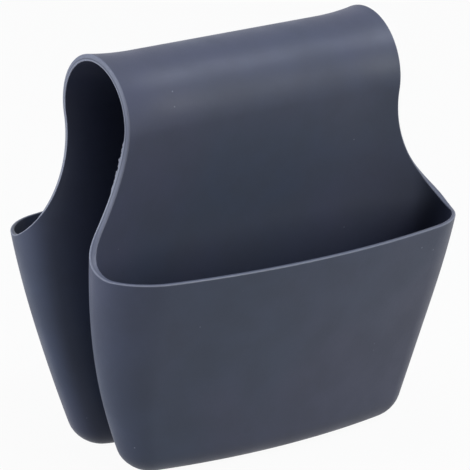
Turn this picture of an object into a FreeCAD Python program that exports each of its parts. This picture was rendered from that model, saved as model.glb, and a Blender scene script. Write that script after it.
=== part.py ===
import FreeCAD, Part
import math
import os

import Sketcher
from FreeCAD import Placement, Rotation, Vector

# Saddle caddy for a sink divider, moulded in soft rubber. Millimetres.
# Origin at the middle of the underside, +Z up, +X along the pockets, front pocket at -Y.
SIZES = {
    "wall": 3.2,
    "floor_thickness": 3.5,
    "strap_half_width": 74.0,
    "arch_radius": 21.6,
    "arch_height": 163.8,
    "shoulder_angle": 45.0,
    "lean_angle": 13.5,
    "panel_flat": 50.3,
    "panel_radius": 85.0,
    "front_bow_radius": 333.3,
    "rim_height": 101.0,
    "rim_half_length": 95.0,
    "rim_half_gap": 10.1,
    "rim_end_radius": 15.0,
    "rim_corner_radius": 29.4,
    "belly_height": 50.0,
    "belly_half_length": 87.1,
    "belly_curl": 24.0,
    "belly_half_gap": 6.6,
    "belly_end_radius": 10.7,
    "belly_corner_radius": 22.0,
    "floor_half_length": 71.6,
    "floor_curl": 6.1,
    "floor_half_gap": 7.2,
    "floor_end_radius": 12.1,
    "floor_corner_radius": 12.0,
    "floor_fillet": 11.0,
    "mouth_reach": 41.0,
    "mouth_power": 1.85,
    "flare_drop": 1.0,
    "cutter_inside": 6.0,
    "cutter_outside": 12.0,
    "drain_diameter": 5.0,
    "drain_pitch": 24.0,
    "drain_count": 5,
    "drain_inset": 15.0,
}
# The panel and the front corners turn as far at every level as at the rim, so that the walls run smoothly.
FOLLOWING = {
    "panel_turn": "=asin((rim_half_length - rim_end_radius - panel_flat) / (panel_radius - rim_end_radius))",
    "corner_turn": "=acos((rim_half_length - rim_corner_radius) / (front_bow_radius - rim_corner_radius))",
    "belly_flat": "=belly_half_length - belly_end_radius - belly_curl",
    "belly_panel_radius": "=belly_end_radius + belly_curl / sin(panel_turn)",
    "belly_bow_radius": "=belly_corner_radius + (belly_half_length - belly_corner_radius) / cos(corner_turn)",
    "floor_flat": "=floor_half_length - floor_end_radius - floor_curl",
    "floor_panel_radius": "=floor_end_radius + floor_curl / sin(panel_turn)",
    "floor_bow_radius": "=floor_corner_radius + (floor_half_length - floor_corner_radius) / cos(corner_turn)",
}
MOUTH_STATIONS = 11
ORIGIN = -1
V_AXIS = -2
START, END, CENTRE = range(1, 4)

doc = FreeCAD.newDocument("sink_caddy")
sheet = doc.addObject("Spreadsheet::Sheet", "Sizes")
for row, (alias, value) in enumerate({**SIZES, **FOLLOWING}.items(), start=1):
    sheet.set(f"A{row}", alias)
    sheet.set(f"B{row}", str(value))
    sheet.setAlias(f"B{row}", alias)
doc.recompute()


def size(name):
    return float(sheet.get(name))


def origin_plane(body, role):
    return next(f for f in body.Origin.OriginFeatures if f.Role == role)


def add_sketch(body, name, role, **offsets):
    """A sketch on one of its body's origin planes; offsets tie its height, lift or lean to the sheet."""
    sketch = body.newObject("Sketcher::SketchObject", name)
    sketch.AttachmentSupport = [(origin_plane(body, role), "")]
    sketch.MapMode = "FlatFace"
    sketch.AttachmentOffset = Placement(Vector(), Rotation(Vector(1, 0, 0), 1))
    paths = {"height": "Base.z", "lift": "Base.y", "lean": "Rotation.Angle"}
    for key, path in paths.items():
        sketch.setExpression(f"AttachmentOffset.{path}", offsets.get(key, "0"))
    return sketch


def tie(sketch, expression, kind, *args):
    """A dimension of a sketch, tied to the sheet."""
    index = sketch.addConstraint(Sketcher.Constraint(kind, *args))
    sketch.setExpression(f"Constraints[{index}]", expression)


def fix(sketch, kind, *args):
    sketch.addConstraint(Sketcher.Constraint(kind, *args))


def arc(x, y, radius, start, end):
    return Part.ArcOfCircle(Part.Circle(Vector(x, y, 0), Vector(0, 0, 1), radius), start, end)


# Pocket outline seen from above: a flat panel on the divider side that curls away in two wide arcs,
# tight round ends, wide front corners and a slightly bowed front wall.
LEVELS = {
    "arch": ("rim_half_length", "arch_radius", "rim_end_radius", "rim_corner_radius",
             "panel_radius", "front_bow_radius", "panel_flat"),
    "rim": ("rim_half_length", "rim_half_gap", "rim_end_radius", "rim_corner_radius",
            "panel_radius", "front_bow_radius", "panel_flat"),
    "belly": ("belly_half_length", "belly_half_gap", "belly_end_radius", "belly_corner_radius",
              "belly_panel_radius", "belly_bow_radius", "belly_flat"),
    "floor": ("floor_half_length", "floor_half_gap", "floor_end_radius", "floor_corner_radius",
              "floor_panel_radius", "floor_bow_radius", "floor_flat"),
}


def outline_turns(half_length, flat, panel_r, end_r, corner_r, bow_r):
    """How far the panel arcs and the front corners turn, and how deep the ends and the bow's centre lie."""
    panel_turn = math.asin((half_length - end_r - flat) / (panel_r - end_r))
    corner_turn = math.acos((half_length - corner_r) / (bow_r - corner_r))
    tip_depth = panel_r - (panel_r - end_r) * math.cos(panel_turn)
    bow_depth = tip_depth - (bow_r - corner_r) * math.sin(corner_turn)
    return panel_turn, corner_turn, tip_depth, bow_depth


def draw_outline(sketch, level, inset):
    """The closed pocket outline at one level, inset from the outer face by a sheet expression."""
    half_name, gap_name, end_name, corner_name, panel_name, bow_name, flat_name = LEVELS[level]
    step = size("wall") if inset else 0.0
    gap, flat = size(gap_name) + step, size(flat_name)
    names = (half_name, end_name, corner_name, panel_name, bow_name)
    half, end_r, corner_r, panel_r, bow_r = (size(name) - step for name in names)
    panel_turn, corner_turn, tip, bow = outline_turns(half, flat, panel_r, end_r, corner_r, bow_r)
    up, left = math.pi / 2, math.pi
    sketch.addGeometry([
        Part.LineSegment(Vector(flat, -gap, 0), Vector(-flat, -gap, 0)),
        arc(-flat, -gap - panel_r, panel_r, up, up + panel_turn),
        arc(end_r - half, -gap - tip, end_r, up + panel_turn, left),
        arc(corner_r - half, -gap - tip, corner_r, left, left + corner_turn),
        arc(0, -gap - bow, bow_r, left + corner_turn, 2 * left - corner_turn),
        arc(half - corner_r, -gap - tip, corner_r, -corner_turn, 0),
        arc(half - end_r, -gap - tip, end_r, 0, up - panel_turn),
        arc(flat, -gap - panel_r, panel_r, up - panel_turn, up),
    ])
    panel, left_panel, left_end, left_corner, front, right_corner, right_end, right_panel = range(8)
    for edge in range(8):
        fix(sketch, "Tangent", edge, END, (edge + 1) % 8, START)
    fix(sketch, "Symmetric", panel, START, panel, END, V_AXIS)
    fix(sketch, "Equal", left_panel, right_panel)
    fix(sketch, "Equal", left_end, right_end)
    fix(sketch, "Equal", left_corner, right_corner)
    fix(sketch, "PointOnObject", front, CENTRE, V_AXIS)
    fix(sketch, "Horizontal", right_end, START, right_end, CENTRE)
    fix(sketch, "Horizontal", left_end, END, left_end, CENTRE)
    less = " - Sizes.wall" if inset else ""
    more = " + Sizes.wall" if inset else ""
    tie(sketch, f"Sizes.{half_name}{less}", "DistanceX", ORIGIN, START, right_end, START, half)
    tie(sketch, f"Sizes.{gap_name}{more}", "DistanceY", panel, START, ORIGIN, START, gap)
    tie(sketch, f"Sizes.{end_name}{less}", "Radius", left_end, end_r)
    tie(sketch, f"Sizes.{corner_name}{less}", "Radius", left_corner, corner_r)
    tie(sketch, f"Sizes.{flat_name}", "DistanceX", ORIGIN, START, panel, START, flat)
    tie(sketch, f"Sizes.{panel_name}{less}", "Radius", left_panel, panel_r)
    tie(sketch, f"Sizes.{bow_name}{less}", "Radius", front, bow_r)


def draw_strap(sketch, side):
    """The strap's cross-section: flat in the middle, curling away from the arch's axis towards both edges.

    side is 1 where the strap lies above the sketch's horizontal axis and -1 where it lies below.
    """
    wall, flat, panel_r = size("wall"), size("panel_flat"), size("panel_radius")
    near, edge_x = size("arch_radius"), size("strap_half_width")
    far, inner_r = near + wall, panel_r - wall
    turn = math.asin((edge_x - flat) / panel_r)
    centre_y = side * (near + panel_r)
    down = -side * math.pi / 2
    right_arc = sorted((down, down + side * turn))
    left_arc = sorted((down, down - side * turn))
    inner_edge = Vector(edge_x, centre_y - side * panel_r * math.cos(turn), 0)
    outer_edge = Vector(flat + inner_r * math.sin(turn), centre_y - side * inner_r * math.cos(turn), 0)
    sketch.addGeometry([
        Part.LineSegment(Vector(-flat, side * near, 0), Vector(flat, side * near, 0)),
        arc(flat, centre_y, panel_r, *right_arc),
        Part.LineSegment(inner_edge, outer_edge),
        arc(flat, centre_y, inner_r, *right_arc),
        Part.LineSegment(Vector(flat, side * far, 0), Vector(-flat, side * far, 0)),
        arc(-flat, centre_y, inner_r, *left_arc),
        Part.LineSegment(Vector(-outer_edge.x, outer_edge.y, 0), Vector(-inner_edge.x, inner_edge.y, 0)),
        arc(-flat, centre_y, panel_r, *left_arc),
    ])
    under, right_in, right_lip, right_out, over, left_out, left_lip, left_in = range(8)
    near_end, far_end = (START, END) if side > 0 else (END, START)
    fix(sketch, "Tangent", under, END, right_in, near_end)
    fix(sketch, "Coincident", right_in, far_end, right_lip, START)
    fix(sketch, "Coincident", right_lip, END, right_out, far_end)
    fix(sketch, "Tangent", right_out, near_end, over, START)
    fix(sketch, "Tangent", over, END, left_out, far_end)
    fix(sketch, "Coincident", left_out, near_end, left_lip, START)
    fix(sketch, "Coincident", left_lip, END, left_in, near_end)
    fix(sketch, "Tangent", left_in, far_end, under, START)
    fix(sketch, "Symmetric", under, START, under, END, V_AXIS)
    fix(sketch, "Coincident", right_in, CENTRE, right_out, CENTRE)
    fix(sketch, "Coincident", left_in, CENTRE, left_out, CENTRE)
    fix(sketch, "PointOnObject", right_in, CENTRE, right_lip)
    fix(sketch, "PointOnObject", left_in, CENTRE, left_lip)
    fix(sketch, "Symmetric", right_lip, START, left_lip, END, V_AXIS)
    tie(sketch, "Sizes.panel_flat", "DistanceX", ORIGIN, START, under, END, flat)
    tie(sketch, "Sizes.panel_radius", "Radius", right_in, panel_r)
    tie(sketch, "Sizes.strap_half_width", "DistanceX", ORIGIN, START, right_lip, START, edge_x)
    if side > 0:
        tie(sketch, "Sizes.arch_radius", "DistanceY", ORIGIN, START, under, START, near)
        tie(sketch, "Sizes.wall", "DistanceY", under, START, over, END, wall)
    else:
        tie(sketch, "Sizes.arch_radius", "DistanceY", under, START, ORIGIN, START, near)
        tie(sketch, "Sizes.wall", "DistanceY", over, END, under, START, wall)


def level_outlines(body, prefix, inset, floor_height):
    """Outline sketches from the top down: the leaning plane at the arch's foot, rim, belly and floor."""
    places = {
        "arch": {"height": "Sizes.arch_height", "lean": "Sizes.lean_angle"},
        "rim": {"height": "Sizes.rim_height"},
        "belly": {"height": "Sizes.belly_height"},
        "floor": {"height": floor_height},
    }
    sketches = []
    for level, place in places.items():
        sketch = add_sketch(body, f"{prefix}_{level}", "XY_Plane", **place)
        draw_outline(sketch, level, inset)
        sketches.append(sketch)
    return sketches


def flat_face_at(shape, height):
    """Name of the level face at one height."""
    for index, face in enumerate(shape.Faces, start=1):
        box = face.BoundBox
        if abs(box.ZMin - height) < 1e-4 and abs(box.ZMax - height) < 1e-4:
            return f"Face{index}"
    raise ValueError(f"no level face at {height}")


def make_block(name, inset, floor_height, fillet_radius):
    """A solid block inside one set of outlines, round along its floor's edge."""
    body = doc.addObject("PartDesign::Body", name)
    top, *lower = level_outlines(body, name, inset, floor_height)
    loft = body.newObject("PartDesign::AdditiveLoft", f"{name}_loft")
    loft.Profile = top
    loft.Sections = lower
    doc.recompute()
    fillet = body.newObject("PartDesign::Fillet", f"{name}_round")
    fillet.Base = (loft, [flat_face_at(loft.Shape, lower[-1].Placement.Base.z)])
    fillet.setExpression("Radius", fillet_radius)
    doc.recompute()
    return body


def add_drains(body):
    """A row of holes up through the floor."""
    sketch = add_sketch(body, "drain_outline", "XY_Plane")
    diameter = size("drain_diameter")
    row_half = size("drain_pitch") * (size("drain_count") - 1) / 2
    row_y = size("floor_half_gap") + size("drain_inset")
    sketch.addGeometry(Part.Circle(Vector(-row_half, -row_y, 0), Vector(0, 0, 1), diameter / 2))
    tie(sketch, "Sizes.drain_diameter", "Diameter", 0, diameter)
    tie(sketch, "Sizes.drain_pitch * (Sizes.drain_count - 1) / 2", "DistanceX", 0, CENTRE, ORIGIN, START, row_half)
    tie(sketch, "Sizes.floor_half_gap + Sizes.drain_inset", "DistanceY", 0, CENTRE, ORIGIN, START, row_y)
    drain = body.newObject("PartDesign::Pocket", "drain")
    drain.Profile = sketch
    drain.setExpression("Length", "2 * Sizes.floor_thickness")
    drain.Reversed = True
    doc.recompute()
    row = body.newObject("PartDesign::LinearPattern", "drain_row")
    row.Originals = [drain]
    row.Direction = (sketch, ["H_Axis"])
    row.setExpression("Length", "Sizes.drain_pitch * (Sizes.drain_count - 1)")
    row.setExpression("Occurrences", "Sizes.drain_count")
    body.Tip = row
    doc.recompute()


def boolean(kind, name, base, tool):
    result = doc.addObject(f"Part::{kind}", name)
    result.Base = base
    result.Tool = tool
    doc.recompute()
    return result


def make_cup():
    """A tall cup: the pocket's walls carried up to the arch on every side, over a floor with drain holes."""
    outside = make_block("outside", False, "0", "Sizes.floor_fillet")
    add_drains(outside)
    inside = make_block("inside", True, "Sizes.floor_thickness", "Sizes.floor_fillet - Sizes.wall")
    return boolean("Cut", "cup", outside, inside)


def rim_point(distance):
    """Plan position on the rim's outer face: x, depth from the panel, and how far the wall has turned.

    distance runs along the face from the middle of the panel.
    """
    half, end_r, corner_r = size("rim_half_length"), size("rim_end_radius"), size("rim_corner_radius")
    flat, panel_r = size("panel_flat"), size("panel_radius")
    panel_turn, _, tip, _ = outline_turns(half, flat, panel_r, end_r, corner_r, size("front_bow_radius"))
    run = distance - flat
    if run < panel_r * panel_turn:
        turn = run / panel_r
        return flat + panel_r * math.sin(turn), panel_r * (1 - math.cos(turn)), turn
    run -= panel_r * panel_turn
    turn = panel_turn + run / end_r
    radius = end_r
    if turn > math.pi / 2:
        turn = math.pi / 2 + (run - end_r * (math.pi / 2 - panel_turn)) / corner_r
        radius = corner_r
    return half - radius + radius * math.sin(turn), tip - radius * math.cos(turn), turn


def mouth_ribbon():
    """Strip that stands square to the wall along the mouth's right edge, from the strap down to the rim.

    Unrolled, the edge is a superellipse: upright at the strap, level where it meets the rim. Gives the strip's
    two edges and the direction in which the wall above it leans.
    """
    lean = math.radians(size("lean_angle"))
    curl = math.asin((size("strap_half_width") - size("panel_flat")) / size("panel_radius"))
    strap_edge = size("panel_flat") + size("panel_radius") * curl
    lip_radius = size("arch_radius") + size("panel_radius") * (1 - math.cos(curl)) + size("wall") * math.cos(curl)
    top = size("arch_height") - lip_radius * math.sin(lean) - size("flare_drop")
    rim, rim_gap, arch_gap = size("rim_height"), size("rim_half_gap"), size("arch_radius") * math.cos(lean)
    power = 2 / size("mouth_power")
    outer_points, inner_points = [], []
    for station in range(MOUTH_STATIONS):
        sweep = station / (MOUTH_STATIONS - 1) * math.pi / 2
        drop = math.sin(sweep) ** power
        along = 1 - max(math.cos(sweep), 0.0) ** power
        x, depth, turn = rim_point(strap_edge + size("mouth_reach") * along)
        gap = arch_gap + (rim_gap - arch_gap) * drop
        tilt = math.cos(lean) if station == 0 else 1.0
        normal = Vector(math.sin(turn), math.cos(turn) * tilt, 0).normalize()
        edge = Vector(x, -gap - depth * tilt, top - drop * (top - rim))
        outer_points.append(edge + normal * size("cutter_outside"))
        inner_points.append(edge - normal * (size("wall") + size("cutter_inside")))
    inward = (inner_points[0] - outer_points[0]).normalize()
    rise = inward * (arch_gap - rim_gap) + Vector(0, 0, top - rim)
    return outer_points, inner_points, rise


def smooth_edge(points):
    """A curve with one even step of its parameter from each point to the next."""
    curve = Part.BSplineCurve()
    curve.interpolate(Points=points, Parameters=[float(step) for step in range(len(points))])
    return curve.toShape()


def raise_face(name, face, direction):
    """A solid that stands on a face and reaches past the arch."""
    base = doc.addObject("Part::Feature", f"{name}_face")
    base.Shape = face
    block = doc.addObject("Part::Extrusion", name)
    block.Base = base
    block.DirMode = "Custom"
    block.Dir = direction
    block.setExpression("LengthFwd", "Sizes.arch_height")
    block.Solid = True
    return block


def mirrored(name, source, normal):
    copy = doc.addObject("Part::Mirroring", name)
    copy.Source = source
    copy.Normal = normal
    return copy


def make_mouth_cutters():
    """What lies above the pocket's mouth: over the strap's two flared edges and over the front of the rim."""
    outer, inner, rise = mouth_ribbon()
    flare = raise_face("right_flare", Part.makeRuledSurface(smooth_edge(outer), smooth_edge(inner)), rise)
    other_flare = mirrored("left_flare", flare, Vector(1, 0, 0))
    far_y = -3 * size("rim_half_length")
    right_side = [inner[-1], outer[-1], Vector(outer[-1].x, far_y, outer[-1].z)]
    left_side = [Vector(-point.x, point.y, point.z) for point in reversed(right_side)]
    loop = right_side + left_side
    front = raise_face("front_opening", Part.Face(Part.makePolygon(loop + loop[:1])), Vector(0, 0, 1))
    doc.recompute()
    return flare, other_flare, front


def make_shoulder():
    """The strap from the leaning foot of the arch up to its shoulder, turned about the arch's axis."""
    body = doc.addObject("PartDesign::Body", "shoulder")
    sketch = add_sketch(body, "shoulder_section", "XY_Plane", height="Sizes.arch_height", lean="Sizes.lean_angle")
    draw_strap(sketch, -1)
    turn = body.newObject("PartDesign::Revolution", "shoulder_turn")
    turn.Profile = sketch
    turn.ReferenceAxis = (sketch, ["H_Axis"])
    turn.setExpression("Angle", "90 + Sizes.lean_angle - Sizes.shoulder_angle")
    turn.Reversed = True
    doc.recompute()
    return body


def make_front_pocket():
    cup = make_cup()
    for cutter in make_mouth_cutters():
        cup = boolean("Cut", f"cup_under_{cutter.Name}", cup, cutter)
    return boolean("Fuse", "front_pocket", cup, make_shoulder())


def make_crown():
    """The top of the arch, turned evenly to both sides of the divider's middle plane."""
    body = doc.addObject("PartDesign::Body", "saddle_crown")
    sketch = add_sketch(body, "crown_section", "XZ_Plane", lift="Sizes.arch_height")
    draw_strap(sketch, 1)
    turn = body.newObject("PartDesign::Revolution", "crown_turn")
    turn.Profile = sketch
    turn.ReferenceAxis = (sketch, ["H_Axis"])
    turn.setExpression("Angle", "2 * Sizes.shoulder_angle")
    turn.Midplane = True
    doc.recompute()
    return body


crown = make_crown()
front_pocket = make_front_pocket()
rear_pocket = mirrored("rear_pocket", front_pocket, Vector(0, 1, 0))
doc.recompute()

nodes = {"saddle_crown": crown, "front_pocket": front_pocket, "rear_pocket": rear_pocket}
for label, node in nodes.items():
    node.Label = label

for item in doc.Objects:
    if "Invalid" in item.State or "Error" in item.State:
        raise RuntimeError(f"{item.Name} failed: {item.State}")
for label, node in nodes.items():
    if node.Shape.isNull() or not node.Shape.isValid():
        raise RuntimeError(f"{label} has no valid shape")

os.makedirs("parts", exist_ok=True)
for label, node in nodes.items():
    node.Shape.exportStep(f"parts/{label}.step")
    box = node.Shape.BoundBox
    print(label, "solids", len(node.Shape.Solids), "volume", round(node.Shape.Volume),
          "x", round(box.XMin, 2), round(box.XMax, 2), "y", round(box.YMin, 2), round(box.YMax, 2),
          "z", round(box.ZMin, 2), round(box.ZMax, 2))
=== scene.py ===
import math

import bmesh
import bpy
from mathutils import Matrix, Vector, kdtree, noise
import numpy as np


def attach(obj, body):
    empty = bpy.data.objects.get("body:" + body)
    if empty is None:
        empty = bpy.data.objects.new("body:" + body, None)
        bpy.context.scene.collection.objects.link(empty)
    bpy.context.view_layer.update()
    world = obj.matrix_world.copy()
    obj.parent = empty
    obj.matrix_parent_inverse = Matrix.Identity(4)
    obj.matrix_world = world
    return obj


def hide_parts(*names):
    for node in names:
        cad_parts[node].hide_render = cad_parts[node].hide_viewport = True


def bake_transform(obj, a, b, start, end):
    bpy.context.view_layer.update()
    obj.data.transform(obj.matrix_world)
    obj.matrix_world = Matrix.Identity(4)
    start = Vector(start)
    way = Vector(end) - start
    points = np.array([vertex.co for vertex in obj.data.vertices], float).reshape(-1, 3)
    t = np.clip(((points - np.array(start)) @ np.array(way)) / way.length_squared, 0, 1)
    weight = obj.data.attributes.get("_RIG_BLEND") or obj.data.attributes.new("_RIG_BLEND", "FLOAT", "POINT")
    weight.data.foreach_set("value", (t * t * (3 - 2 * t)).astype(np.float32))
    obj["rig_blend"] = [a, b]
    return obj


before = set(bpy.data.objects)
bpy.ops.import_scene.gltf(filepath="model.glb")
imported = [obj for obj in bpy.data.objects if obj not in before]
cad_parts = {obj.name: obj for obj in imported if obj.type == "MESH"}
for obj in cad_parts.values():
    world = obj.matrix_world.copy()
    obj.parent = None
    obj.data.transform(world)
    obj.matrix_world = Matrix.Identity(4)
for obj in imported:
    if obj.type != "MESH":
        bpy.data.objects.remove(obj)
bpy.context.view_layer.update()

# Moulding: one sheet of soft rubber from a press mould, with its sizes in millimetres. A strap arches over
# the sink's divider and runs down on both sides into the back wall of a pocket. The wall thins out to the
# outer rims, and each pocket's outline turns by the same angles at the floor, the belly and the rim.
MM = 0.001
WALL, RIM_WALL = 3.2, 1.9
THIN_FROM_HEIGHT, THIN_DEPTHS = 45.0, (25.0, 48.0)
LEVELS = (0.0, 50.0, 101.0, 161.0)
HALF_LENGTHS = (71.6, 87.1, 95.0, 95.0)
END_RADII = (12.1, 10.7, 15.0, 15.0)
CORNER_RADII = (12.0, 22.0, 29.4, 29.4)
PANEL_CURLS = (6.1, 24.0, 29.7, 29.7)
PANEL_RADIUS, BOW_RADIUS = 85.0, 333.3
PANEL_TURN = math.asin(PANEL_CURLS[-1] / (PANEL_RADIUS - END_RADII[-1]))
CORNER_TURN = math.acos((HALF_LENGTHS[-1] - CORNER_RADII[-1]) / (BOW_RADIUS - CORNER_RADII[-1]))
# Each with its height, the gap there and the slope of the gap.
PANEL_GAPS = ((0.0, 7.18, -0.0115), (50.0, 6.6, 0.0293), (101.0, 10.14, 0.0994),
              (158.79, 21.027, 0.2393))
RIM_HEIGHT = 101.0
FLOOR_ROUND = 10.4
ARCH_HEIGHT, ARCH_RADIUS = 163.8, 21.6
CROWN_RISE, CROWN_FLATTENING = 0.6, 0.45
LEAN = math.radians(13.5)
SHOULDER = math.radians(45.0)
STRAP_EDGE = 74.3
MOUTH_REACH, MOUTH_POWER = 41.0, 1.85
FLARE_TURN = math.radians(52.0)
FLAT_SHARE = 0.66
FLAT_STEPS, CURL_STEPS = 12, 14
FLARE_STEPS, CORNER_STEPS, FRONT_STEPS = 18, 14, 16
FLOOR_STEPS, WALL_STEPS, NECK_STEPS = 8, 30, 20
SHOULDER_STEPS, CROWN_STEPS = 18, 14
SEAM_STEP = math.radians(0.6)
JOIN_GAP = 1e-6


def eased(value, low, high):
    """0 below a range, 1 above it and smooth between."""
    share = min(max((value - low) / (high - low), 0.0), 1.0)
    return share * share * (3 - 2 * share)


def level_size(values, height):
    """A size of the outline at any height, on the cubic through its four levels."""
    total = 0.0
    for i, value in enumerate(values):
        for j, level in enumerate(LEVELS):
            if j != i:
                value *= (height - level) / (LEVELS[i] - level)
        total += value
    return total


def panel_gap(height):
    """Distance of the pocket's back wall from the divider's middle plane."""
    for (low, gap0, slope0), (high, gap1, slope1) in zip(PANEL_GAPS, PANEL_GAPS[1:]):
        if height <= high or high == PANEL_GAPS[-1][0]:
            span = high - low
            t = (height - low) / span
            rise = gap0 * (1 + 2 * t) * (1 - t) ** 2 + gap1 * t * t * (3 - 2 * t)
            return rise + span * (slope0 * t * (1 - t) ** 2 - slope1 * t * t * (1 - t))


def outline_runs(height):
    """Lengths of the outline's stretches from the middle of the panel round to the middle of the front."""
    half = level_size(HALF_LENGTHS, height)
    end = level_size(END_RADII, height)
    corner = level_size(CORNER_RADII, height)
    curl = level_size(PANEL_CURLS, height)
    panel = end + curl / math.sin(PANEL_TURN)
    bow = corner + (half - corner) / math.cos(CORNER_TURN)
    runs = (half - end - curl, panel * PANEL_TURN, end * (math.pi / 2 - PANEL_TURN),
            corner * CORNER_TURN, bow * (math.pi / 2 - CORNER_TURN))
    return runs, (half, end, corner, panel, bow)


RIM_RUNS, _ = outline_runs(RIM_HEIGHT)
CORNER_END, FRONT_MIDDLE = sum(RIM_RUNS[:4]), sum(RIM_RUNS)


def outline_point(distance, height):
    """x, depth behind the panel and wall direction of the outer face, by the distance along the rim."""
    (flat, *_), (half, end, corner, panel, bow) = outline_runs(height)
    tip = panel - (panel - end) * math.cos(PANEL_TURN)
    run = abs(distance)
    stretch = 0
    while stretch < len(RIM_RUNS) - 1 and run > RIM_RUNS[stretch]:
        run -= RIM_RUNS[stretch]
        stretch += 1
    share = min(run / RIM_RUNS[stretch], 1.0)
    if stretch == 0:
        x, depth, turn = flat * share, 0.0, 0.0
    elif stretch == 1:
        turn = PANEL_TURN * share
        x, depth = flat + panel * math.sin(turn), panel * (1 - math.cos(turn))
    elif stretch == 2:
        turn = PANEL_TURN + (math.pi / 2 - PANEL_TURN) * share
        x, depth = half - end + end * math.sin(turn), tip - end * math.cos(turn)
    elif stretch == 3:
        turn = math.pi / 2 + CORNER_TURN * share
        x, depth = half - corner + corner * math.sin(turn), tip - corner * math.cos(turn)
    else:
        turn = math.pi / 2 + CORNER_TURN + (math.pi / 2 - CORNER_TURN) * share
        centre = tip - (bow - corner) * math.sin(CORNER_TURN)
        x, depth = bow * math.sin(turn), centre - bow * math.cos(turn)
    return math.copysign(x, distance), depth, math.copysign(turn, distance)


def arch_point(distance, angle):
    """Point of the strap's under face at an angle about the arch's axis, from the front upwards."""
    x, depth, _ = outline_point(distance, RIM_HEIGHT)
    flattened = eased(angle, -LEAN, math.pi / 2)
    radius = ARCH_RADIUS + CROWN_RISE * flattened + depth * (1 - CROWN_FLATTENING * flattened)
    return Vector((x, -radius * math.cos(angle), ARCH_HEIGHT + radius * math.sin(angle))) * MM


def foot_height(distance):
    """Height of the leaning line where the arch begins."""
    return arch_point(distance, -LEAN).z / MM


def wall_point(distance, height, inset=0.0):
    """Point of the pocket's outer face, moved in square to the wall by an inset."""
    x, depth, turn = outline_point(distance, height)
    lift = max(height - RIM_HEIGHT, 0.0) / (ARCH_HEIGHT - RIM_HEIGHT)
    depth *= 1 + (1 / math.cos(LEAN) - 1) * lift
    y = -panel_gap(height) - depth - math.cos(turn) * inset
    return Vector((x - math.sin(turn) * inset, y, height)) * MM


def mouth_station(sweep):
    """Distance along the rim and height of the flared edge: upright at the strap, level at the rim."""
    power = 2 / MOUTH_POWER
    top = foot_height(STRAP_EDGE)
    along = 1 - max(math.cos(sweep), 0.0) ** power
    return STRAP_EDGE + MOUTH_REACH * along, top - (top - RIM_HEIGHT) * math.sin(sweep) ** power


FLARE_EDGE, FLARE_FOOT = mouth_station(FLARE_TURN)


def ring_point(column, row):
    """Point of the wall up to its edge; rows below 0 turn under into the floor."""
    distance, top = column
    if row >= 0:
        return wall_point(distance, FLOOR_ROUND + (top - FLOOR_ROUND) * row)
    turn = (1 + row) * math.pi / 2
    return wall_point(distance, FLOOR_ROUND * (1 - math.cos(turn)), FLOOR_ROUND * (1 - math.sin(turn)))


def strap_point(share, sweep):
    """Point of the strap between its flared edges, by its share of the half width."""
    edge, edge_height = mouth_station(sweep)
    distance = share * edge
    if sweep == 0:
        return arch_point(distance, -LEAN)
    climb = (edge_height - FLARE_FOOT) / (foot_height(STRAP_EDGE) - FLARE_FOOT)
    return wall_point(distance, FLARE_FOOT + (foot_height(share * STRAP_EDGE) - FLARE_FOOT) * climb)


def spread(start, end, count):
    """Even steps from a start, which is left out, to an end."""
    return [start + (end - start) * i / count for i in range(1, count + 1)]


def mapped_grid(mesh, columns, rows, place):
    """A grid whose points are laid on a face of the moulding."""
    grid = bmesh.ops.create_grid(mesh, x_segments=len(columns) - 1, y_segments=len(rows) - 1, size=1.0)
    for vert in grid["verts"]:
        column = columns[round((vert.co.x + 1) / 2 * (len(columns) - 1))]
        row = rows[round((vert.co.y + 1) / 2 * (len(rows) - 1))]
        vert.co = place(column, row)


half_shares = [0.0] + spread(0.0, FLAT_SHARE, FLAT_STEPS) + spread(FLAT_SHARE, 1.0, CURL_STEPS)
shares = [-share for share in reversed(half_shares[1:])] + half_shares
flare = [mouth_station(sweep) for sweep in spread(FLARE_TURN, math.pi / 2, FLARE_STEPS)]
rim_distances = spread(flare[-1][0], CORNER_END, CORNER_STEPS)
rim_distances += spread(CORNER_END, FRONT_MIDDLE, FRONT_STEPS)
right_ring = flare + [(distance, RIM_HEIGHT) for distance in rim_distances]
left_ring = [(-distance, top) for distance, top in reversed(right_ring)]
ring_columns = left_ring + [(share * FLARE_EDGE, FLARE_FOOT) for share in shares] + right_ring
ring_rows = [i / FLOOR_STEPS - 1 for i in range(FLOOR_STEPS)] + [0.0] + spread(0.0, 1.0, WALL_STEPS)
neck_rows = [FLARE_TURN] + spread(FLARE_TURN, 0.0, NECK_STEPS)
arch_rows = [-LEAN] + spread(-LEAN, SHOULDER - SEAM_STEP, SHOULDER_STEPS) + [SHOULDER]
arch_rows += [SHOULDER + SEAM_STEP] + spread(SHOULDER + SEAM_STEP, math.pi / 2, CROWN_STEPS)

sheet = bmesh.new()
mapped_grid(sheet, ring_columns, ring_rows, ring_point)
mapped_grid(sheet, shares, neck_rows, strap_point)
mapped_grid(sheet, [share * STRAP_EDGE for share in shares], arch_rows, arch_point)
bmesh.ops.remove_doubles(sheet, verts=sheet.verts, dist=JOIN_GAP)

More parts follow.
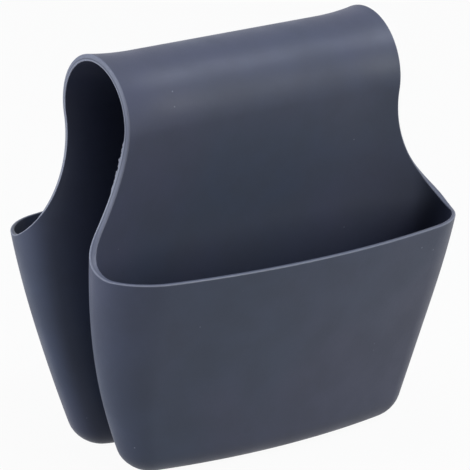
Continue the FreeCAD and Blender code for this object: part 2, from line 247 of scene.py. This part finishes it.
floor_ring = [edge for edge in sheet.edges
              if edge.is_boundary and max(vert.co.z for vert in edge.verts) < JOIN_GAP]
bmesh.ops.contextual_create(sheet, geom=floor_ring)
bmesh.ops.recalc_face_normals(sheet, faces=sheet.faces)
rear = bmesh.ops.duplicate(sheet, geom=sheet.verts[:] + sheet.edges[:] + sheet.faces[:])["geom"]
rear_verts = [item for item in rear if isinstance(item, bmesh.types.BMVert)]
rear_faces = [item for item in rear if isinstance(item, bmesh.types.BMFace)]
bmesh.ops.scale(sheet, vec=(1, -1, 1), verts=rear_verts)
bmesh.ops.reverse_faces(sheet, faces=rear_faces)
bmesh.ops.remove_doubles(sheet, verts=sheet.verts, dist=JOIN_GAP)
sheet.normal_update()
if min(sheet.faces, key=lambda face: face.calc_center_median().y).normal.y > 0:
    bmesh.ops.reverse_faces(sheet, faces=sheet.faces)
open_edge = [vert.co.copy() for vert in sheet.verts if vert.is_boundary]
wall_shares = sheet.verts.layers.deform.verify()
for vert in sheet.verts:
    height, depth = vert.co.z / MM, abs(vert.co.y) / MM
    thinned = eased(height, THIN_FROM_HEIGHT, RIM_HEIGHT) * eased(depth, *THIN_DEPTHS)
    vert[wall_shares][0] = 1 - (1 - RIM_WALL / WALL) * thinned
moulding_mesh = bpy.data.meshes.new("moulding")
sheet.to_mesh(moulding_mesh)
sheet.free()
moulding = bpy.data.objects.new("moulding", moulding_mesh)
bpy.context.scene.collection.objects.link(moulding)
WALL_SLOT, LIP_SLOT = range(2)
for _ in (WALL_SLOT, LIP_SLOT):
    moulding_mesh.materials.append(None)
thicken = moulding.modifiers.new("wall", "SOLIDIFY")
thicken.thickness = WALL * MM
thicken.offset = -1
thicken.use_even_offset = True
thicken.material_offset_rim = LIP_SLOT
thicken.vertex_group = moulding.vertex_groups.new(name="wall_shares").name

# Drains: a row of small round holes through each pocket's floor, which let the water out.
# They are left open in the rubber by pins that stand in the mould.
DRAIN_DIAMETER, DRAIN_PITCH, DRAIN_COUNT = 5.0, 24.0, 5
DRAIN_ROW = 22.2
PIN_LENGTH, PIN_SIDES = 4 * WALL, 28
pins = bmesh.new()
for side in (-1, 1):
    for index in range(DRAIN_COUNT):
        x = (index - (DRAIN_COUNT - 1) / 2) * DRAIN_PITCH
        place = Matrix.Translation(Vector((x, side * DRAIN_ROW, 0.0)) * MM)
        radius = DRAIN_DIAMETER / 2 * MM
        bmesh.ops.create_cone(pins, cap_ends=True, segments=PIN_SIDES, radius1=radius, radius2=radius,
                              depth=PIN_LENGTH * MM, matrix=place)
pin_mesh = bpy.data.meshes.new("drain_pins")
pins.to_mesh(pin_mesh)
pins.free()
drain_pins = bpy.data.objects.new("drain_pins", pin_mesh)
bpy.context.scene.collection.objects.link(drain_pins)
drains = moulding.modifiers.new("drains", "BOOLEAN")
drains.operation = "DIFFERENCE"
drains.solver = "EXACT"
drains.object = drain_pins
shell = bmesh.new()
shell.from_object(moulding, bpy.context.evaluated_depsgraph_get())
shell.verts.layers.deform.remove(shell.verts.layers.deform.active)
bpy.data.objects.remove(moulding)
bpy.data.objects.remove(drain_pins)

# Lips: the sheet's open edge along the strap and round each mouth, where the mould closes.
# They are slightly rounded, with the mould's parting line along them, and are palest along the strap.
LIP_ROUND, LIP_ROUND_STEPS = 0.55, 3
RIM_PALENESS, PALING_HEIGHT = 0.42, 20.0
edge_places = kdtree.KDTree(len(open_edge))
for index, place in enumerate(open_edge):
    edge_places.insert(place, index)
edge_places.balance()
lip_edges = [edge for edge in shell.edges if len({face.material_index for face in edge.link_faces}) == 2]
rounded = bmesh.ops.bevel(shell, geom=lip_edges, offset=LIP_ROUND * MM, offset_type="OFFSET", affect="EDGES",
                          segments=LIP_ROUND_STEPS, profile=0.5, clamp_overlap=True, material=-1,
                          loop_slide=True)
lip_faces = set(rounded["faces"]) | {face for face in shell.faces if face.material_index == LIP_SLOT}
lip = shell.verts.layers.float.new("lip")
lip_across = shell.verts.layers.float.new("lip_across")
true_normal = shell.verts.layers.float_vector.new("true_normal")
shell.normal_update()
for vert in shell.verts:
    walls = [face.normal for face in vert.link_faces if face not in lip_faces]
    above = min(max((vert.co.z / MM - RIM_HEIGHT) / PALING_HEIGHT, 0.0), 1.0)
    vert[lip] = 0.0 if walls else RIM_PALENESS + (1 - RIM_PALENESS) * above
    vert[lip_across] = min(edge_places.find(vert.co)[2] / (WALL * MM), 1.0)
    vert[true_normal] = vert.normal
    if 0 < len(walls) < len(vert.link_faces):
        vert[true_normal] = sum(walls, Vector()).normalized()
for face in shell.faces:
    face.smooth = True
    face.material_index = WALL_SLOT

# Flash: a thin ragged sliver that the mould squeezed out along the strap's front left edge, left untrimmed.
# It is of the same rubber and stands on the lip, on the divider's side of the parting line.
FLASH_SPAN = (math.radians(0.5), math.radians(27.0))
FLASH_THICKNESS, FLASH_ROOT, FLASH_RISE = 0.3, 0.8, 0.85
FLASH_INSET, FLASH_LEAN = 0.15, 0.3
FLASH_STEPS, SWEEP_STEP = 110, 0.01
TORN_LEVEL = 0.55
# Each with its size, the number along the sliver and the place in the noise.
TEARS = ((0.7, 17.0, 4.2, 0.7), (0.5, 60.0, 1.3, 2.9))


def flash_point(sweep, row):
    """Point of the sliver's foot in the lip, row 0, or of its torn crest, row 1."""
    edge, height = mouth_station(sweep)
    corner = wall_point(-edge, height)
    next_edge, next_height = mouth_station(sweep + SWEEP_STEP)
    along = wall_point(-next_edge, next_height) - corner
    down = wall_point(-edge, height - 1.0) - corner
    aside = wall_point(-edge - 1.0, height) - corner
    normal = down.cross(aside).normalized()
    outward = normal.cross(along).normalized()
    if not row:
        return corner - (normal * FLASH_ROOT + outward * FLASH_INSET) * MM
    share = (sweep - FLASH_SPAN[0]) / (FLASH_SPAN[1] - FLASH_SPAN[0])
    torn = TORN_LEVEL
    for size, count, *place in TEARS:
        torn += size * noise.noise(Vector((share * count, *place)))
    rise = FLASH_RISE * max(torn, 0.0) * math.sin(math.pi * share) ** 0.5
    crest = (normal + outward * FLASH_LEAN).normalized() * rise
    return corner + (crest - outward * FLASH_INSET) * MM


sliver = bmesh.new()
mapped_grid(sliver, [FLASH_SPAN[0]] + spread(*FLASH_SPAN, FLASH_STEPS), (0, 1), flash_point)
bmesh.ops.solidify(sliver, geom=sliver.faces[:], thickness=FLASH_THICKNESS * MM)
bmesh.ops.recalc_face_normals(sliver, faces=sliver.faces)
sliver_mesh = bpy.data.meshes.new("flash")
sliver.to_mesh(sliver_mesh)
sliver.free()
moulded = set(shell.verts)
shell.from_mesh(sliver_mesh)
bpy.data.meshes.remove(sliver_mesh)
# The handle from before the sliver came in no longer holds.
lip = shell.verts.layers.float["lip"]
# The sliver takes the lips' pale colour and their painted edge highlight: painted light, in place of light
# through its thin rubber.
for vert in shell.verts:
    if vert not in moulded:
        vert[lip] = 1.0

# Rubber of the moulding: a soft compound, slate navy, satin from a fine-blasted mould.
# It is faintly mottled, holds specks of pale dust, and its lips are lighter, with a painted highlight along
# their outer corner and a dark parting line.
SLATE, LILAC = (0.0395, 0.0495, 0.0835, 1.0), (0.0450, 0.0500, 0.0850, 1.0)
# The second lip colour is a painted highlight for the lips' outer rounded corner.
LIP_GREY, LIP_EDGE_HIGHLIGHT = (0.125, 0.133, 0.180, 1.0), (0.24, 0.25, 0.305, 1.0)
PARTING, DUST = (0.030, 0.035, 0.052, 1.0), (0.30, 0.32, 0.38, 1.0)
GLOSS = 0.24
# Noises by their features per metre and detail.
CLOUDS, MOTTLE, STIPPLE, GRAIN = (11.0, 2.0), (55.0, 4.0), (420.0, 3.0), (2400.0, 2.0)
CLOUD_SPAN, MOTTLE_SPAN, MOTTLE_DEPTH = (0.35, 0.65), (0.25, 0.75), 0.35
SATIN_SPAN, SATIN, SATIN_GRAIN = (0.3, 0.7), (0.43, 0.51), (-0.04, 0.04)
BLASTING_STRENGTH, BLASTING_DEPTH = 0.35, 0.0001
SPECK_SCALE, SPECK_LOTS, SPECK_SPAN, SPECK_SHADE = 110.0, (0.74, 0.78), (0.02, 0.05), 0.4
LIP_SHADE, EDGE_HIGHLIGHT_SPAN, EDGE_HIGHLIGHT_SHARE = 0.8, (0.10, 0.28), 0.7
PARTING_PLACE, PARTING_SPAN, PARTING_SHADE = 0.36, (0.02, 0.10), 0.75
rubber = bpy.data.materials.new("slate_rubber")
rubber.use_nodes = True
tree = rubber.node_tree
shader = tree.nodes["Principled BSDF"]
shader.inputs["Specular IOR Level"].default_value = GLOSS
coordinates = tree.nodes.new("ShaderNodeTexCoord").outputs["Object"]


def noise_of(scale, detail):
    """Soft noise over the moulding, with a scale in features per metre."""
    texture = tree.nodes.new("ShaderNodeTexNoise")
    texture.inputs["Scale"].default_value = scale
    texture.inputs["Detail"].default_value = detail
    tree.links.new(coordinates, texture.inputs["Vector"])
    return texture.outputs["Fac"]


def ranged(value, span, start, end):
    """A value carried smoothly from a span of its own to another range."""
    carrier = tree.nodes.new("ShaderNodeMapRange")
    carrier.interpolation_type = "SMOOTHSTEP"
    for name, number in zip(("From Min", "From Max", "To Min", "To Max"), (*span, start, end)):
        carrier.inputs[name].default_value = number
    tree.links.new(value, carrier.inputs["Value"])
    return carrier.outputs["Result"]


def combined(operation, first, second):
    """Two values, or a value and a number, joined by one operation."""
    math_node = tree.nodes.new("ShaderNodeMath")
    math_node.operation = operation
    for socket, value in zip(math_node.inputs, (first, second)):
        if isinstance(value, float):
            socket.default_value = value
        else:
            tree.links.new(value, socket)
    return math_node.outputs["Value"]


def tinted(share, first, second):
    """One colour over another by a share that changes along the surface."""
    mix = tree.nodes.new("ShaderNodeMix")
    mix.data_type = "RGBA"
    for socket, value in zip((mix.inputs[0], mix.inputs[6], mix.inputs[7]), (share, first, second)):
        if isinstance(value, bpy.types.NodeSocket):
            tree.links.new(value, socket)
        else:
            socket.default_value = value
    return mix.outputs[2]


def painted(name):
    """A value that the moulding's points carry."""
    reader = tree.nodes.new("ShaderNodeAttribute")
    reader.attribute_name = name
    return reader.outputs["Fac"]


mottle, grain = noise_of(*MOTTLE), noise_of(*GRAIN)
colour = tinted(ranged(noise_of(*CLOUDS), CLOUD_SPAN, 0.0, 1.0), SLATE, LILAC)
colour = tinted(ranged(mottle, MOTTLE_SPAN, 0.0, MOTTLE_DEPTH), colour, PARTING)
specks = tree.nodes.new("ShaderNodeTexVoronoi")
specks.inputs["Scale"].default_value = SPECK_SCALE
tree.links.new(coordinates, specks.inputs["Vector"])
lots = tree.nodes.new("ShaderNodeSeparateColor")
tree.links.new(specks.outputs["Color"], lots.inputs["Color"])
few = ranged(lots.outputs["Red"], SPECK_LOTS, 0.0, 1.0)
dusty = combined("MULTIPLY", ranged(specks.outputs["Distance"], SPECK_SPAN, SPECK_SHADE, 0.0), few)
colour = tinted(dusty, colour, DUST)
on_lip, lip_place = painted("lip"), painted("lip_across")
colour = tinted(combined("MULTIPLY", on_lip, LIP_SHADE), colour, LIP_GREY)
# Painted highlight: each lip is painted paler towards its outer rounded corner, in place of light caught
# there.
painted_edge_highlight = combined("MULTIPLY", on_lip, ranged(lip_place, EDGE_HIGHLIGHT_SPAN, EDGE_HIGHLIGHT_SHARE, 0.0))
colour = tinted(painted_edge_highlight, colour, LIP_EDGE_HIGHLIGHT)
from_parting = combined("ABSOLUTE", combined("SUBTRACT", lip_place, PARTING_PLACE), 0.0)
at_parting = combined("MULTIPLY", on_lip, ranged(from_parting, PARTING_SPAN, PARTING_SHADE, 0.0))
colour = tinted(at_parting, colour, PARTING)
tree.links.new(colour, shader.inputs["Base Color"])
satin = combined("ADD", ranged(mottle, SATIN_SPAN, *SATIN), ranged(grain, SATIN_SPAN, *SATIN_GRAIN))
tree.links.new(satin, shader.inputs["Roughness"])
blasting = tree.nodes.new("ShaderNodeBump")
blasting.inputs["Strength"].default_value = BLASTING_STRENGTH
blasting.inputs["Distance"].default_value = BLASTING_DEPTH
tree.links.new(combined("ADD", grain, noise_of(*STIPPLE)), blasting.inputs["Height"])
tree.links.new(blasting.outputs["Normal"], shader.inputs["Normal"])

# Crown: the top of the arch, which lies on the edge of the divider and carries both pockets.
# It is one with the rubber on either side, and is cut from it only where the strap starts to bend.


def on_crown(point):
    """Whether a point lies between the two shoulders of the arch."""
    return point.z - ARCH_HEIGHT > abs(point.y)


def cut_piece(name, belongs):
    """A stretch of the moulding as a closed mesh of its own, capped where it was cut from the next."""
    part = shell.copy()
    others = [face for face in part.faces if not belongs(face.calc_center_median() / MM)]
    bmesh.ops.delete(part, geom=others, context="FACES")
    seam = [edge for edge in part.edges if edge.is_boundary]
    for cap in bmesh.ops.holes_fill(part, edges=seam, sides=0)["faces"]:
        cap.smooth = False
    for edge in seam:
        edge.smooth = False
    mesh = bpy.data.meshes.new(name)
    part.to_mesh(mesh)
    part.free()
    curved = mesh.attributes["true_normal"].data
    normals = [None] * len(mesh.loops)
    for polygon in mesh.polygons:
        for loop in polygon.loop_indices:
            vertex = mesh.loops[loop].vertex_index
            normals[loop] = curved[vertex].vector if polygon.use_smooth else polygon.normal
    mesh.normals_split_custom_set(normals)
    mesh.attributes.remove(mesh.attributes["true_normal"])
    mesh.materials.append(rubber)
    piece = bpy.data.objects.new(name, mesh)
    bpy.context.scene.collection.objects.link(piece)
    return piece


crown = cut_piece("crown_strap", on_crown)
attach(crown, "crown")
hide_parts("saddle_crown")

# Pockets, each with its stretch of strap: they hang from the crown and swing out as the strap is opened.
# The rubber bends from the shoulder of the arch down past its foot, and has no seam there.
BEND = 38.0
for side, sign in (("front", -1), ("rear", 1)):
    pocket = cut_piece(f"{side}_pocket_wall", lambda point: point.y * sign > 0 and not on_crown(point))
    outwards, upwards = sign * math.cos(SHOULDER), math.sin(SHOULDER)
    start = Vector((0.0, outwards * ARCH_RADIUS, ARCH_HEIGHT + upwards * ARCH_RADIUS))
    end = start + Vector((0.0, sign * math.sin(SHOULDER), -math.cos(SHOULDER))) * BEND
    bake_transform(pocket, "crown", f"{side}_side", start=start * MM, end=end * MM)
    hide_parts(f"{side}_pocket")
shell.free()

# Studio: a pale floor that runs on to the horizon, five soft boxes and a camera far off, at the
# photograph's viewing angle. The floor and the world show white, and the floor keeps some of the shadow.
FLOOR_SIZE = 40.0
FLOOR_GREY, FLOOR_ROUGHNESS, FLOOR_WHITENESS = (0.35, 0.35, 0.35, 1.0), 0.9, 0.95
floor_mesh = bpy.data.meshes.new("floor")
floor = bpy.data.objects.new("floor", floor_mesh)
bpy.context.scene.collection.objects.link(floor)
plate = bmesh.new()
bmesh.ops.create_grid(plate, x_segments=1, y_segments=1, size=FLOOR_SIZE)
plate.to_mesh(floor_mesh)
plate.free()


def seen_itself(node_tree):
    """1 for rays that show the background itself: from the camera, off gloss or through glass."""
    path = node_tree.nodes.new("ShaderNodeLightPath")
    seen = path.outputs["Is Camera Ray"]
    for name in ("Is Glossy Ray", "Is Transmission Ray"):
        either = node_tree.nodes.new("ShaderNodeMath")
        either.operation = "MAXIMUM"
        node_tree.links.new(seen, either.inputs[0])
        node_tree.links.new(path.outputs[name], either.inputs[1])
        seen = either.outputs["Value"]
    return seen


white = bpy.data.materials.new("white_floor")
white.use_nodes = True
nodes, links = white.node_tree.nodes, white.node_tree.links
paint = nodes["Principled BSDF"]
paint.inputs["Base Color"].default_value = FLOOR_GREY
paint.inputs["Roughness"].default_value = FLOOR_ROUGHNESS
clean = nodes.new("ShaderNodeMath")
clean.operation = "MULTIPLY"
clean.inputs[1].default_value = FLOOR_WHITENESS
links.new(seen_itself(white.node_tree), clean.inputs[0])
blank_white = nodes.new("ShaderNodeEmission")
over = nodes.new("ShaderNodeMixShader")
links.new(clean.outputs["Value"], over.inputs["Fac"])
links.new(paint.outputs["BSDF"], over.inputs[1])
links.new(blank_white.outputs["Emission"], over.inputs[2])
links.new(over.outputs["Shader"], nodes["Material Output"].inputs["Surface"])
floor_mesh.materials.append(white)

world = bpy.data.worlds.new("studio")
world.use_nodes = True
background = world.node_tree.nodes["Background"]
background.inputs["Color"].default_value = (1, 1, 1, 1)
world.node_tree.links.new(seen_itself(world.node_tree), background.inputs["Strength"])
bpy.context.scene.world = world

# Each with its place, width, watts and tint.
SOFT_BOXES = {"left_box": ((-1.6, 0.4, 0.5), 0.9, 16.0, (0.88, 0.90, 1.0)),
              "left_rear_box": ((-1.4, 1.0, 0.6), 1.2, 24.0, (0.86, 0.95, 1.0)),
              "front_box": ((0.4, -1.65, 0.5), 1.0, 19.5, (1.0, 1.0, 0.86)),
              "right_box": ((0.5, -0.68, 1.58), 0.6, 24.0, (0.86, 0.91, 1.0)),
              "top_box": ((-0.1, 0.4, 1.8), 0.9, 11.0, (0.92, 0.96, 1.0))}
LAMP_AIM = Vector((0.0, 0.0, 0.1))
for name, (place, width, watts, tint) in SOFT_BOXES.items():
    lamp = bpy.data.lights.new(name, "AREA")
    lamp.energy = watts
    lamp.size = width
    lamp.color = tint
    box = bpy.data.objects.new(name, lamp)
    bpy.context.scene.collection.objects.link(box)
    box.location = place
    box.rotation_euler = (LAMP_AIM - box.location).to_track_quat("-Z", "Y").to_euler()

AZIMUTH, ELEVATION, ROLL = math.radians(-33.61), math.radians(18.19), math.radians(-0.34)
AIM, DISTANCE = Vector((0.0018, 0.0020, 0.0932)), 1.903
LENS, SENSOR = 318.8, 36.0
camera = bpy.data.cameras.new("camera")
camera.lens = LENS
camera.sensor_width = SENSOR
camera_object = bpy.data.objects.new("camera", camera)
bpy.context.scene.collection.objects.link(camera_object)
level = math.cos(ELEVATION)
back = Vector((math.sin(AZIMUTH) * level, -math.cos(AZIMUTH) * level, math.sin(ELEVATION)))
turn = (-back).to_track_quat("-Z", "Y").to_matrix().to_4x4() @ Matrix.Rotation(ROLL, 4, "Z")
camera_object.matrix_world = Matrix.Translation(AIM + back * DISTANCE) @ turn
bpy.context.scene.camera = camera_object

bpy.context.scene.view_settings.view_transform = "Standard"
